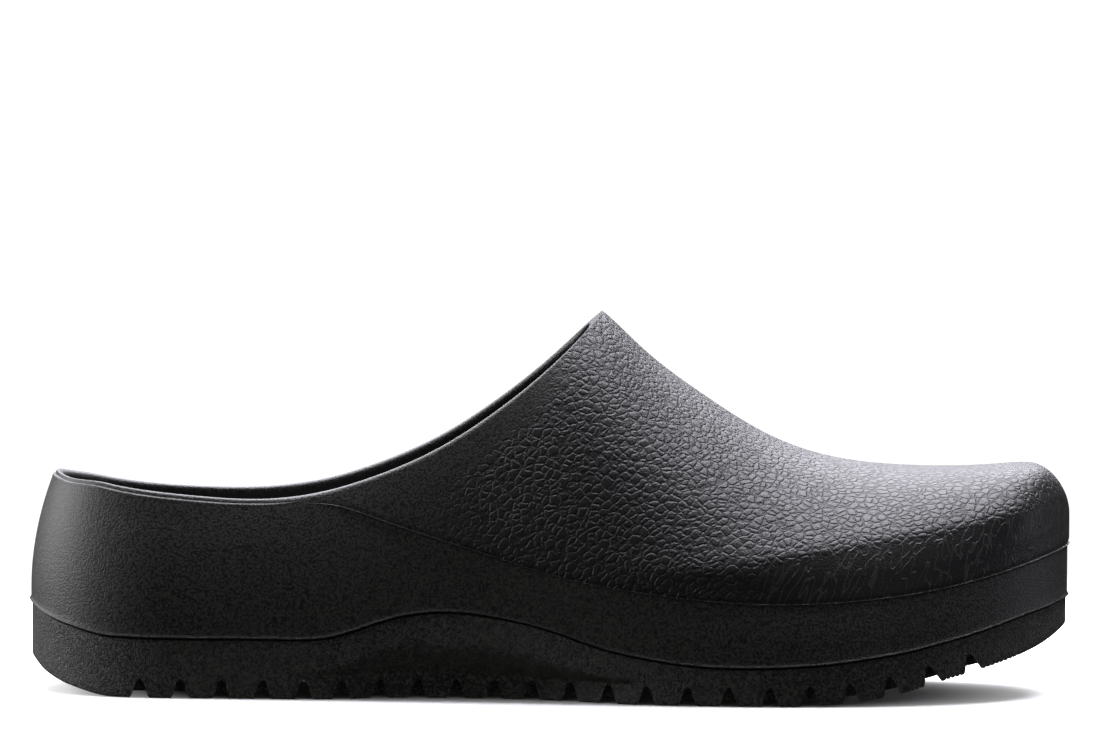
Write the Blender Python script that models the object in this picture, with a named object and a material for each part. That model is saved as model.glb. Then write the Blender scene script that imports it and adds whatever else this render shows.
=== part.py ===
"""Chef clog for the right foot: a moulded upper on a lugged outsole, with a footbed inside.

Metres. +X points to the toe, +Y to the inner side of the foot and +Z up. The origin is at
the middle of the whole shoe's box, on the ground.

Every piece is lofted from the same last form. The form is worked out from the named sizes
and from SECTIONS, a row for each section of the shoe. A ring is a loop of points around the
shoe, one for each station on either side: it runs from the toe along the outer side to the
heel, and back along the inner side. Pieces are skins stretched between rings.
"""

import math

import bmesh
import bpy
import numpy as np

MM = 0.001
NAME = "chef_clog"

# Main sizes of the last form
LENGTH = 290 * MM
BALL_WIDTH = 108.5 * MM
THROAT_HEIGHT = 106 * MM
SOLE_SIDE = 24.7 * MM
TOE_SPRING = 19.5 * MM
HEEL_BEVEL = 9.6 * MM
HEEL_LEAN = 4.6 * MM
THROAT_AT = 0.548

# Toe and heel in plan: where each side starts to turn in, and how square the turn is
TOE_TIP_SIDE = 11 * MM
TOE_TURN = {-1: (0.70, 2.0), 1: (0.80, 2.4)}
HEEL_TURN = (0.14, 2.15)
TOE_EDGE_RUN = 11 * MM
TOE_EDGE_DROP = 13 * MM

# Upper
WALL = 3.4 * MM
RIM_DROP = 1.6 * MM
STEP_OUT = 0.5 * MM
STEP_RISE = 0.4 * MM
STEP_STARTS = 0.262
STEP_FULL = 0.325
RIM_LEVEL_AT = 0.34

# Outsole
FIT = 0.35 * MM
SOLE_STEP = 0.4 * MM
HEEL_SEAT = 28 * MM
SEAT_LIP = 1.4 * MM
COVE_DEPTH = 12 * MM
LUG_HEIGHT = 5.5 * MM
LUG_EDGE = 0.7 * MM
LUG_SHARE = 0.6
BAND_SHARE = 0.25
COVE_STEPS = (1 / 3, 2 / 3, 1)

# Tread notches
NOTCH_PITCH = 11 * MM
NOTCH_MOUTH = 5.6 * MM
NOTCH_NECK = 2.0 * MM
NOTCH_DEPTH = 5.4 * MM
NOTCH_REACH = 27 * MM
NOTCH_REACH_SHARE = 0.4
NOTCH_MARGIN = 9 * MM
FIRST_NOTCH_AT = 0.1086
HEEL_GROOVE_AT = 0.2655
BALL_GROOVE_AT = 0.5928
LAST_NOTCH_AT = 0.9055
SLOPE_STEP = 0.01

# Footbed
FOOTBED_HEEL = 7.5 * MM
HEEL_CUP = 5 * MM
ARCH_RISE = 5 * MM
ARCH_AT = 0.42
ARCH_SPREAD = 0.13
CUP_LEFT_AT_TOE = 0.15
DISH_SQUARE = 2.5

# Fineness of the skins
BACK_STATIONS = 26
FRONT_STATIONS = 20
THROAT_SPREAD = math.radians(166)
RAND_ROWS = 3
VAMP_ROWS = 8
SOLE_COLUMNS = 4
FOOTBED_COLUMNS = 8
MERGE = 0.005 * MM
SHARP_ANGLE = math.radians(50)

# A row for each section. "at" is its place as a share of LENGTH from the heel.
# Shares of BALL_WIDTH: outer and inner half widths, and how far the crown lies to the inner side.
# Shares of THROAT_HEIGHT: crown of the closed form, collar line, and the line between rand and vamp.
# The collar line runs straight on past the throat, so that it doesn't bend before it gets there.
# square is the exponent of the section's curve: 2 is an ellipse, more is boxier.
# Shares of SOLE_SIDE: height of the sole's side, and of the band over the waist's cove.
# bevel is a share of HEEL_BEVEL, spring of TOE_SPRING, seat of HEEL_SEAT, cove of COVE_DEPTH,
# and bed, the footbed's thickness, of FOOTBED_HEEL.
COLUMNS = (
    "at", "outer", "inner", "inward", "crown", "collar", "parting", "square",
    "side", "band", "bevel", "spring", "seat", "cove", "bed",
)
FIRM_COLUMNS = ("bevel", "spring", "cove")
SECTIONS = (
    (0.000, 0.359, 0.359, 0.000, 0.774, 0.580, 0.396, 2.00, 0.62, 0.45, 1.00, 0.000, 1.036, 0.00, 1.00),
    (0.015, 0.359, 0.359, 0.000, 0.774, 0.571, 0.396, 2.00, 0.66, 0.45, 0.60, 0.000, 1.030, 0.00, 1.00),
    (0.035, 0.359, 0.359, 0.000, 0.775, 0.562, 0.396, 2.00, 0.68, 0.45, 0.32, 0.000, 1.020, 0.00, 1.00),
    (0.083, 0.359, 0.359, 0.000, 0.783, 0.538, 0.397, 2.00, 0.68, 0.45, 0.01, 0.000, 1.000, 0.00, 1.00),
    (0.155, 0.361, 0.357, 0.000, 0.792, 0.520, 0.408, 2.00, 0.67, 0.44, 0.00, 0.000, 1.000, 0.00, 1.05),
    (0.241, 0.367, 0.354, 0.000, 0.822, 0.523, 0.499, 2.00, 0.67, 0.40, 0.00, 0.000, 0.985, 0.00, 1.10),
    (0.290, 0.374, 0.346, 0.002, 0.872, 0.546, 0.507, 2.00, 0.70, 0.36, 0.00, 0.000, 0.970, 0.12, 1.14),
    (0.341, 0.382, 0.337, 0.006, 0.948, 0.592, 0.467, 2.00, 0.89, 0.59, 0.00, 0.000, 0.950, 0.80, 1.16),
    (0.393, 0.393, 0.335, 0.011, 1.030, 0.658, 0.423, 2.00, 1.00, 0.65, 0.00, 0.000, 0.940, 1.00, 1.14),
    (0.448, 0.410, 0.341, 0.018, 1.080, 0.756, 0.378, 2.02, 0.95, 0.60, 0.00, 0.000, 0.895, 1.00, 1.08),
    (0.507, 0.439, 0.363, 0.024, 1.066, 0.889, 0.331, 2.10, 0.79, 0.44, 0.00, 0.000, 0.793, 0.75, 0.96),
    (0.548, 0.460, 0.391, 0.028, 1.000, 1.000, 0.307, 2.16, 0.63, 0.33, 0.00, 0.000, 0.696, 0.35, 0.88),
    (0.586, 0.479, 0.415, 0.031, 0.904, 1.104, 0.292, 2.14, 0.53, 0.31, 0.00, 0.000, 0.625, 0.05, 0.80),
    (0.645, 0.503, 0.452, 0.037, 0.782, 1.265, 0.273, 2.08, 0.44, 0.31, 0.00, 0.000, 0.529, 0.00, 0.72),
    (0.703, 0.512, 0.479, 0.046, 0.683, 1.424, 0.264, 2.08, 0.43, 0.31, 0.00, 0.000, 0.471, 0.00, 0.67),
    (0.762, 0.512, 0.496, 0.056, 0.621, 1.585, 0.267, 2.18, 0.45, 0.32, 0.00, 0.022, 0.482, 0.00, 0.66),
    (0.821, 0.512, 0.502, 0.067, 0.595, 1.747, 0.281, 2.38, 0.46, 0.32, 0.00, 0.128, 0.557, 0.00, 0.66),
    (0.879, 0.512, 0.502, 0.079, 0.587, 1.906, 0.306, 2.75, 0.43, 0.31, 0.00, 0.349, 0.679, 0.00, 0.66),
    (0.931, 0.512, 0.502, 0.089, 0.589, 2.048, 0.340, 3.50, 0.44, 0.31, 0.00, 0.554, 0.821, 0.00, 0.62),
    (0.972, 0.512, 0.502, 0.097, 0.593, 2.160, 0.373, 4.60, 0.41, 0.30, 0.00, 0.769, 0.950, 0.00, 0.58),
    (1.000, 0.512, 0.502, 0.101, 0.593, 2.237, 0.396, 3.40, 0.32, 0.26, 0.00, 1.000, 1.029, 0.00, 0.56),
)


def column(name):
    return np.array(SECTIONS)[:, COLUMNS.index(name)]


def firm_slopes(run, slope):
    """Slopes at the sections for a curve that never passes its own values, so that flat stays flat."""
    product, total = slope[:-1] * slope[1:], slope[:-1] + slope[1:]
    middle = np.divide(2 * product, total, out=np.zeros_like(total), where=product > 0)
    return np.concatenate([slope[:1], middle, slope[-1:]])


def fair_slopes(run, slope):
    """Slopes at the sections for a fair curve, whose bend has no jumps."""
    count = len(run) + 1
    system, right = np.zeros((count, count)), np.zeros(count)
    system[0, :2], right[0] = (2, 1), 3 * slope[0]
    system[-1, -2:], right[-1] = (1, 2), 3 * slope[-1]
    for i in range(1, count - 1):
        before, after = run[i - 1], run[i]
        system[i, i - 1 : i + 2] = after, 2 * (before + after), before
        right[i] = 3 * (after * slope[i - 1] + before * slope[i])
    return np.linalg.solve(system, right)


def along(name, at):
    """A column of SECTIONS at the shares `at` of the length."""
    knots, values = column("at"), column(name)
    run = np.diff(knots)
    slope = np.diff(values) / run
    tangent = (firm_slopes if name in FIRM_COLUMNS else fair_slopes)(run, slope)
    i = np.clip(np.searchsorted(knots, at, side="right") - 1, 0, len(run) - 1)
    t = (at - knots[i]) / run[i]
    rise = values[i + 1] - values[i]
    leave, arrive = tangent[i] * run[i], tangent[i + 1] * run[i]
    return values[i] + t * (leave + t * (3 * rise - 2 * leave - arrive + t * (leave + arrive - 2 * rise)))


def ease(share):
    """0 to 1 with a soft start and end."""
    share = np.clip(share, 0, 1)
    return share * share * (3 - 2 * share)


def turn(share, power):
    """1 where the share is 0 or less, falling to 0 at 1 as a quarter of a superellipse."""
    return (1 - np.clip(share, 0, 1) ** power) ** (1 / power)


def stations():
    """Shares of the length, close together at the heel, the throat and the toe."""
    back = 1 - np.cos(np.linspace(0, THROAT_SPREAD, BACK_STATIONS + 1))
    front = 1 - np.cos(np.linspace(math.pi - THROAT_SPREAD, math.pi, FRONT_STATIONS + 1))
    back = back / back[-1] * THROAT_AT
    front = (front - front[0]) / (front[-1] - front[0]) * (1 - THROAT_AT) + THROAT_AT
    return np.concatenate([back, front[1:]])


AT = stations()
THROAT = BACK_STATIONS
LAST = len(AT) - 1


# Heights at each station


def ground_line(at):
    return along("bevel", at) * HEEL_BEVEL + along("spring", at) * TOE_SPRING


def sole_line(at):
    """The edge on the side where the upper meets the outsole."""
    return ground_line(at) + along("side", at) * SOLE_SIDE


def crown_line(at):
    """The top of the closed form, which turns down over the edge of the toe."""
    edge = TOE_EDGE_RUN / LENGTH
    return along("crown", at) * THROAT_HEIGHT - TOE_EDGE_DROP * (1 - turn((at - 1 + edge) / edge, 2))


def collar_line(at):
    return along("collar", at) * THROAT_HEIGHT


def rim_drop(at):
    """How far the rim falls to its outer edge: most at the heel, and not at all along the side."""
    return RIM_DROP * (1 - ease(at / RIM_LEVEL_AT))


def parting_line(at):
    """The line between the smooth rand and the grained vamp."""
    return along("parting", at) * THROAT_HEIGHT


def seat_line(at):
    """The top of the outsole inside the upper, where the footbed lies."""
    return np.maximum(along("seat", at) * HEEL_SEAT, sole_line(at) + SEAT_LIP)


# The last form


def outline(at, side):
    """The plan outline: y on the outer (side -1) or the inner (side 1) half."""
    half = side * along("outer" if side < 0 else "inner", at) * BALL_WIDTH
    start, power = TOE_TURN[side]
    toe = turn((at - start) / (1 - start), power)
    heel_start, heel_power = HEEL_TURN
    heel = turn((heel_start - at) / heel_start, heel_power)
    return (TOE_TIP_SIDE * (1 - toe) + half * toe) * heel


def half_form(at, side, height):
    """Points of the form at one height for each station."""
    base = sole_line(at)
    rise = np.clip((height - base) / (crown_line(at) - base), 0, 1)
    square = along("square", at)
    centre = along("inward", at) * BALL_WIDTH
    y = centre + (outline(at, side) - centre) * (1 - rise**square) ** (1 / square)
    lean = HEEL_LEAN * (np.clip(height / HEEL_SEAT - 1, 0, None)) ** 2
    x = at * LENGTH + lean * np.clip(1 - at / HEEL_TURN[0], 0, 1) ** 2
    return np.stack([x, y, height], axis=1)


def ring(outer_half, inner_half):
    """One closed loop from the two halves, which meet at the toe and at the heel."""
    return np.concatenate([outer_half[:0:-1], inner_half[:-1]])


def mirrored(values):
    """Values at each station, repeated for both halves of a ring."""
    return np.concatenate([values[:0:-1], values[:-1]])


def form_ring(height):
    return ring(half_form(AT, -1, height), half_form(AT, 1, height))


RING_AT = mirrored(AT)
ZIPPED = RING_AT >= AT[THROAT] - 1e-9
OTHER_HALF = -np.arange(len(RING_AT)) % len(RING_AT)


def inward_normals(rings, closes=False):
    """Unit normals into the shoe, from each point's neighbours. closes: the last ring is the crown."""
    round_the_shoe = np.roll(rings, -1, axis=1) - np.roll(rings, 1, axis=1)
    upward = np.gradient(rings, axis=0)
    upward[0] = (0, 0, 1)
    if closes:
        over = rings[-2][OTHER_HALF] - rings[-2]
        upward[-1] = np.where(ZIPPED[:, None], over, upward[-1])
        round_the_shoe[-1, 0] = (0, -1, 0)
        upward[-1, 0] = (0, 0, 1)
    normal = np.cross(upward, round_the_shoe)
    normal /= np.linalg.norm(normal, axis=2, keepdims=True)
    outwards = np.sign(normal[0, 0, 0])
    return -outwards * normal


def inset(rings, depth, closes=False):
    """The rings moved into the shoe by a depth, kept joined along the crown."""
    moved = rings + inward_normals(rings, closes) * depth
    if closes:
        joined = (moved[-1] + moved[-1][OTHER_HALF]) / 2
        moved[-1] = np.where(ZIPPED[:, None], joined, moved[-1])
    return moved


def plan_inset(ring_points, depth):
    """One ring moved level towards the inside by a depth for each of its points."""
    along_ring = np.roll(ring_points, -1, axis=0) - np.roll(ring_points, 1, axis=0)
    along_ring[:, 2] = 0
    normal = np.cross(along_ring, (0, 0, 1))
    normal /= np.linalg.norm(normal, axis=1, keepdims=True)
    inwards = -np.sign(normal[0, 0])
    return ring_points + inwards * normal * np.reshape(depth, (-1, 1))


# Skins


class Skin:
    """A mesh under construction, made of rings, the strips between them and the caps across them."""

    def __init__(self):
        self.mesh = bmesh.new()

    def ring(self, points):
        return [self.mesh.verts.new(point) for point in points]

    def strip(self, lower, upper, only=None):
        for i in range(len(lower)):
            k = (i + 1) % len(lower)
            if only is None or only[i]:
                self.mesh.faces.new((lower[i], lower[k], upper[k], upper[i]))

    def cap(self, edge, columns, shape):
        """Fills a ring with a row of points at each station; shape gives their places."""
        count = len(edge)
        outer = [edge[LAST - i] for i in range(LAST + 1)]
        inner = [edge[(LAST + i) % count] for i in range(LAST + 1)]
        rows = []
        for i in range(LAST + 1):
            between = [
                self.mesh.verts.new(shape(i, k / columns, outer[i].co, inner[i].co))
                for k in range(1, columns)
            ]
            rows.append([outer[i], *between, inner[i]])
        for a, b in zip(rows, rows[1:]):
            for k in range(columns):
                corners = dict.fromkeys((a[k], a[k + 1], b[k + 1], b[k]))
                self.mesh.faces.new(tuple(corners))

    def finish(self, name, material, collection):
        bmesh.ops.remove_doubles(self.mesh, verts=self.mesh.verts, dist=MERGE)
        bmesh.ops.dissolve_degenerate(self.mesh, edges=self.mesh.edges, dist=MERGE)
        bmesh.ops.triangulate(self.mesh, faces=self.mesh.faces)
        bmesh.ops.recalc_face_normals(self.mesh, faces=self.mesh.faces)
        return mesh_object(name, self.mesh, material, collection)


def mesh_object(name, shape, material, collection):
    mesh = bpy.data.meshes.new(name)
    shape.to_mesh(mesh)
    shape.free()
    piece = bpy.data.objects.new(name, mesh)
    collection.objects.link(piece)
    if material:
        mesh.materials.append(material)
        mesh.shade_smooth()
        mesh.set_sharp_from_angle(angle=SHARP_ANGLE)
    return piece


def flat_across(i, share, outer, inner):
    return outer.lerp(inner, share)


# Upper


def wall_heights():
    """The heights of the upper's rows at each station, from the sole line to collar or crown."""
    base, crown, square = sole_line(AT), crown_line(AT), along("square", AT)
    top = np.where(AT < THROAT_AT, collar_line(AT) - rim_drop(AT), crown)

    def angle(height):
        return np.arcsin(np.clip((height - base) / (crown - base), 0, 1) ** (square / 2))

    def height(turned):
        return base + (crown - base) * np.sin(turned) ** (2 / square)

    parting = parting_line(AT)
    rows = [height(angle(parting) * row / RAND_ROWS) for row in range(RAND_ROWS + 1)]
    low, high = angle(parting + STEP_RISE), angle(top)
    rows += [height(low + (high - low) * row / VAMP_ROWS) for row in range(VAMP_ROWS + 1)]
    return rows


def close_throat(outer_edge, rim):
    """Sets the inner edge of the collar on the collar line, and its front point between its neighbours."""
    front = [k for k in range(len(rim)) if math.isclose(RING_AT[k], THROAT_AT)]
    beside = (front[0] + 1, front[1] - 1)
    rim[front] = outer_edge[front[0]] + sum(rim[k] - outer_edge[k] for k in beside) / 2
    collar = ~ZIPPED
    collar[front] = True
    rim[collar, 2] = collar_line(rim[collar, 0] / LENGTH)


def build_upper(material, collection):
    """One hollow wall, open at the collar and underneath, with the vamp a step proud of the rand."""
    form = np.array([form_ring(height) for height in wall_heights()])
    step = STEP_OUT * ease((RING_AT - STEP_STARTS) / (STEP_FULL - STEP_STARTS))
    proud = np.zeros(form.shape[:2])
    proud[RAND_ROWS + 1 :] = step
    outside = inset(form, -proud[:, :, None], closes=True)
    inside = inset(form, WALL, closes=True)
    inside[0, :, 2] = outside[0, :, 2]
    open_top = ~(ZIPPED & np.roll(ZIPPED, -1))
    close_throat(form[-1], inside[-1])
    skin = Skin()
    outer_rings = [skin.ring(points) for points in outside]
    inner_rings = [skin.ring(points) for points in inside]
    for rings in (outer_rings, inner_rings):
        for lower, upper in zip(rings, rings[1:]):
            skin.strip(lower, upper)
    skin.strip(outer_rings[-1], inner_rings[-1], open_top)
    skin.strip(outer_rings[0], inner_rings[0])
    return skin.finish("upper", material, collection)


# Outsole


def sole_rings():
    """Depth in from the outline, and height, of each ring of the outsole's side, downwards."""
    at = RING_AT
    ground, top = ground_line(at), sole_line(at) - FIT
    lug = ground + np.minimum(LUG_HEIGHT, LUG_SHARE * (top - ground))
    band = np.maximum(ground + along("band", at) * SOLE_SIDE, lug + BAND_SHARE * (top - lug))
    cove = along("cove", at) * COVE_DEPTH
    rows = [(0, top), (0, band)]
    for share in COVE_STEPS:
        rows.append((cove * ease(share), band + (lug - band) * share))
    rows.append((cove, ground + LUG_EDGE))
    rows.append((cove + LUG_EDGE, ground))
    return [(SOLE_STEP + depth, height) for depth, height in rows]


def build_outsole(material, collection):
    """The lugged sole: a side up to the sole line, a ledge for the upper's wall, and a raised seat."""
    skin = Skin()
    base = form_ring(sole_line(AT))
    seat = inset(np.array([base, form_ring(seat_line(AT))]), WALL + FIT)
    seat[:, :, 2] = base[:, 2] - FIT, seat_line(RING_AT)
    seat_bottom, seat_top = (skin.ring(points) for points in seat)
    skin.strip(seat_bottom, seat_top)
    skin.cap(seat_top, 2, flat_across)
    above = seat_bottom
    for depth, height in sole_rings():
        points = plan_inset(base, depth)
        points[:, 2] = height
        below = skin.ring(points)
        skin.strip(above, below)
        above = below
    skin.cap(above, SOLE_COLUMNS, flat_across)
    return skin.finish("outsole", material, collection)


def notch_places():
    """Shares of the length for the notches, evenly spaced in the heel, the waist and the forefoot."""
    ends = (FIRST_NOTCH_AT, HEEL_GROOVE_AT, BALL_GROOVE_AT, LAST_NOTCH_AT)
    places = [FIRST_NOTCH_AT]
    for start, end in zip(ends, ends[1:]):
        count = round((end - start) * LENGTH / NOTCH_PITCH)
        places += list(np.linspace(start, end, count + 1)[1:])
    return places


def notch_profile():
    """A bell: a wide mouth at the ground and a narrow round top. Width and height in metres."""
    heights = np.array([-0.2, 0.0, 0.12, 0.5, 0.85])
    mouth, neck = NOTCH_MOUTH / 2, NOTCH_NECK / 2
    widths = neck + (mouth - neck) * np.array([1.4, 1.0, 0.72, 0.3, -0.05])
    side = list(zip(widths, heights * NOTCH_DEPTH))
    return side + [(0, NOTCH_DEPTH)] + [(-width, height) for width, height in reversed(side)]


def add_notch(shape, at, near, far):
    """A prism through the sole's edge from y = near to y = far, square to the ground there."""
    behind, ahead = at - SLOPE_STEP, at + SLOPE_STEP
    slope = math.atan2(ground_line(ahead) - ground_line(behind), (ahead - behind) * LENGTH)
    lean, lift = math.sin(slope), math.cos(slope)
    centre, level = at * LENGTH, ground_line(at)
    ends = []
    for y in (near, far):
        ends.append([
            shape.verts.new((centre + u * lift - v * lean, y, level + u * lean + v * lift))
            for u, v in notch_profile()
        ])
    count = len(ends[0])
    for i in range(count):
        k = (i + 1) % count
        shape.faces.new((ends[0][i], ends[0][k], ends[1][k], ends[1][i]))
    shape.faces.new(ends[0])
    shape.faces.new(ends[1])


def build_notch_cutter(collection):
    shape = bmesh.new()
    for at in notch_places():
        outer, inner = (float(outline(at, side)) for side in (-1, 1))
        if any(math.isclose(at, groove) for groove in (HEEL_GROOVE_AT, BALL_GROOVE_AT)):
            add_notch(shape, at, outer - NOTCH_MARGIN, inner + NOTCH_MARGIN)
            continue
        reach = min(NOTCH_REACH, NOTCH_REACH_SHARE * (inner - outer))
        add_notch(shape, at, outer - NOTCH_MARGIN, outer + reach)
        add_notch(shape, at, inner + NOTCH_MARGIN, inner - reach)
    bmesh.ops.recalc_face_normals(shape, faces=shape.faces)
    cutter = mesh_object("notch_cutter", shape, None, collection)
    cutter.hide_render = True
    cutter.display_type = "WIRE"
    return cutter


def cut(piece, cutter):
    boolean = piece.modifiers.new("notches", "BOOLEAN")
    boolean.operation = "DIFFERENCE"
    boolean.solver = "EXACT"
    boolean.object = cutter


# Footbed


def build_footbed(material, collection):
    """A contoured insole on the seat, with a cup round the heel and a rise under the arch."""
    bottom = seat_line(AT) + FIT
    bed = along("bed", AT) * FOOTBED_HEEL
    fall = ease((BALL_GROOVE_AT - AT) / (BALL_GROOVE_AT - HEEL_GROOVE_AT))
    cup = HEEL_CUP * (CUP_LEFT_AT_TOE + (1 - CUP_LEFT_AT_TOE) * fall)
    edge = bottom + bed + cup
    arch = ARCH_RISE * np.exp(-(((AT - ARCH_AT) / ARCH_SPREAD) ** 2))
    rings = inset(np.array([form_ring(sole_line(AT)), form_ring(bottom), form_ring(edge)]), WALL + FIT)
    rings[1:, :, 2] = mirrored(bottom), mirrored(edge)

    def dished(i, share, outer, inner):
        across = 2 * share - 1
        point = outer.lerp(inner, share)
        point.z -= cup[i] * (1 - abs(across) ** DISH_SQUARE)
        point.z += arch[i] * max(0, across) * (1 - max(0, across) ** 3)
        return point

    skin = Skin()
    low, high = skin.ring(rings[1]), skin.ring(rings[2])
    skin.strip(low, high)
    skin.cap(low, 2, flat_across)
    skin.cap(high, FOOTBED_COLUMNS, dished)
    return skin.finish("footbed", material, collection)


# Scene


def linear(channel):
    return channel / 12.92 if channel <= 0.04045 else ((channel + 0.055) / 1.055) ** 2.4


def new_material(name, hex_colour, roughness):
    material = bpy.data.materials.new(name)
    material.use_nodes = True
    shader = material.node_tree.nodes["Principled BSDF"]
    channels = [linear(int(hex_colour[i : i + 2], 16) / 255) for i in (0, 2, 4)]
    shader.inputs["Base Color"].default_value = (*channels, 1)
    shader.inputs["Roughness"].default_value = roughness
    shader.inputs["Metallic"].default_value = 0
    return material


def clear_scene():
    for obj in list(bpy.data.objects):
        bpy.data.objects.remove(obj)


def new_collection(name):
    collection = bpy.data.collections.new(name)
    bpy.context.scene.collection.children.link(collection)
    return collection


def stand_at_origin(pieces, cutters):
    """Moves the meshes so that the origin is at the bottom middle of the pieces' box."""
    corners = np.array([vert.co for piece in pieces for vert in piece.data.vertices])
    low, high = corners.min(axis=0), corners.max(axis=0)
    for obj in (*pieces, *cutters):
        for vert in obj.data.vertices:
            vert.co.x -= (low[0] + high[0]) / 2
            vert.co.y -= (low[1] + high[1]) / 2
            vert.co.z -= low[2]


def main():
    clear_scene()
    shoe = new_collection(NAME)
    cutters = new_collection(NAME + "_cutters")
    upper = build_upper(new_material("moulded_upper", "232322", 0.42), shoe)
    outsole = build_outsole(new_material("moulded_outsole", "262624", 0.6), shoe)
    footbed = build_footbed(new_material("footbed_foam", "2b2a28", 0.8), shoe)
    notches = build_notch_cutter(cutters)
    cut(outsole, notches)
    stand_at_origin((upper, outsole, footbed), (notches,))


main()
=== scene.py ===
"""Chef clog, dressed: the moulded upper, the lugged outsole and the footbed with their finishes,
on a pale floor in soft studio light.

Metres. +X points to the toe, +Y to the inner side of the foot and +Z up. Every skin is lofted
from one last form, worked out from the named sizes and from SECTIONS.
"""

import math

import bmesh
import bpy
import numpy as np
from mathutils import Matrix, Vector


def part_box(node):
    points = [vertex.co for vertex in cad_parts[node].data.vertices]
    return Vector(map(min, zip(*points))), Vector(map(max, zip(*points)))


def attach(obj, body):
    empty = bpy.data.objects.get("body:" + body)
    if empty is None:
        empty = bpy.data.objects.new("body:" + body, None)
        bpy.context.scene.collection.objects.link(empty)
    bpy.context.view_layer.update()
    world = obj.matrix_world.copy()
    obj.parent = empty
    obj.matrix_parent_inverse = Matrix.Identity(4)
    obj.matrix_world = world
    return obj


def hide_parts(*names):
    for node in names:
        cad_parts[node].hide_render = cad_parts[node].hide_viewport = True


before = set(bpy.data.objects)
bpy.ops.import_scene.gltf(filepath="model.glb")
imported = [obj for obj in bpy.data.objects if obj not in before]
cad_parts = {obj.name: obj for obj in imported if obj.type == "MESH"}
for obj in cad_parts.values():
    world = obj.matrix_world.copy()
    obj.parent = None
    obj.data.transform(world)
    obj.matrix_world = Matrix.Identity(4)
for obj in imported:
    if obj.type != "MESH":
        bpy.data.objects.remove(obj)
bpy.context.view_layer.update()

MM = 0.001

# Main sizes of the last form
LENGTH = 290 * MM
BALL_WIDTH = 108.5 * MM
THROAT_HEIGHT = 106 * MM
SOLE_SIDE = 24.7 * MM
TOE_SPRING = 19.5 * MM
HEEL_BEVEL = 9.6 * MM
HEEL_LEAN = 4.6 * MM
THROAT_AT = 0.548

# Toe and heel in plan: where each side starts to turn in, and how square the turn is
TOE_TIP_SIDE = 11 * MM
TOE_TURN = {-1: (0.70, 2.0), 1: (0.80, 2.4)}
HEEL_TURN = (0.14, 2.15)
TOE_EDGE_RUN = 11 * MM
TOE_EDGE_DROP = 13 * MM

# Upper. The pairs are two shares of the length, or two places from the heel.
WALL = 3.4 * MM
RIM_OUTER_ROUND = 1.3 * MM
RIM_HEEL_ROUND = 0.7 * MM
RIM_INNER_ROUND = 2.0 * MM
RIM_ROUND_RUN = 0.03
RIM_LIFT = 1.4 * MM
RIM_LIFT_DEPTH = 8 * MM
RIM_LIFT_RISES = (0.02, 0.07)
RIM_LIFT_FALLS = (0.09, 0.26)
RIM_ROWS_AT_FRONT = 0.3
RIM_ROWS_RUN = 0.1
SHOULDER_RISE = 2.0 * MM
SHOULDER_FALL = 9 * MM
SHOULDER_ROUND = 1.5 * MM
SHOULDER_FOOT = 8 * MM
SHOULDER_GROWS = (150 * MM, 210 * MM)
SHOULDER_FADES = (0.95, 0.995)
RIM_LINE_FADES = 0.215
STEP_STARTS = 0.262
STEP_FULL = 0.325

# Outsole
FIT = 0.35 * MM
SOLE_STEP = 0.4 * MM
SOLE_TOP_ROUND = 0.3 * MM
HEEL_SEAT = 28 * MM
SEAT_LIP = 1.4 * MM
COVE_DEPTH = 12 * MM
LUG_HEIGHT = 5.5 * MM
LUG_EDGE = 0.7 * MM
LUG_SHARE = 0.6
BAND_SHARE = 0.25
SLOPE_STEP = 0.01

# Tread notches
NOTCH_PITCH = 11 * MM
NOTCH_MOUTH = 5.6 * MM
NOTCH_NECK = 2.0 * MM
NOTCH_DEPTH = 5.4 * MM
NOTCH_REACH = 27 * MM
NOTCH_MARGIN = 9 * MM
NOTCH_REACH_SHARE = 0.4
FIRST_NOTCH_AT = 0.1086
HEEL_GROOVE_AT = 0.2655
BALL_GROOVE_AT = 0.5928
LAST_NOTCH_AT = 0.9055

# Fine tread: small teeth under the toe and narrow slits between the notches
TOOTH_PITCH = 1.25 * MM
TOOTH_DEPTH = 0.55 * MM
TOOTH_MARGIN = 5 * MM
TEETH_START = 0.845
TEETH_END = 0.950
SLIT_WIDTH = 1.0 * MM
SLIT_DEPTH = 2.2 * MM
SLIT_LENGTH = 26 * MM
SLIT_LENGTH_SHARE = 0.34
SLIT_SWING = math.radians(14)

# Footbed
FOOTBED_HEEL = 7.5 * MM
FOOTBED_ROUND = 1.3 * MM
HEEL_CUP = 5 * MM
ARCH_RISE = 5 * MM
ARCH_AT = 0.42
ARCH_SPREAD = 0.13
CUP_LEFT_AT_TOE = 0.15
DISH_SQUARE = 2.5
BALL_PAD_RISE = 1.6 * MM
BALL_PAD_AT = 0.60
BALL_PAD_SPREAD = 0.06
BALL_PAD_ACROSS = 0.05
BALL_PAD_WIDTH = 0.38
TOE_GRIP_RISE = 1.5 * MM
TOE_GRIP_AT = 0.80
TOE_GRIP_BOW = 0.05
TOE_GRIP_SPREAD = 0.018

# Where the finishes change on the vamp: from the heel, below the collar and below the shoulder
GRAIN_STARTS = (102 * MM, 136 * MM)
GRAIN_LEAVES_RIM = (5 * MM, 14 * MM)
SMOOTH_RIM_ENDS = (140 * MM, 156 * MM)
STREAKS_START = (190 * MM, 216 * MM)
STREAKS_UNDER_SHOULDER = (-0.4 * MM, 1.2 * MM)

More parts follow.
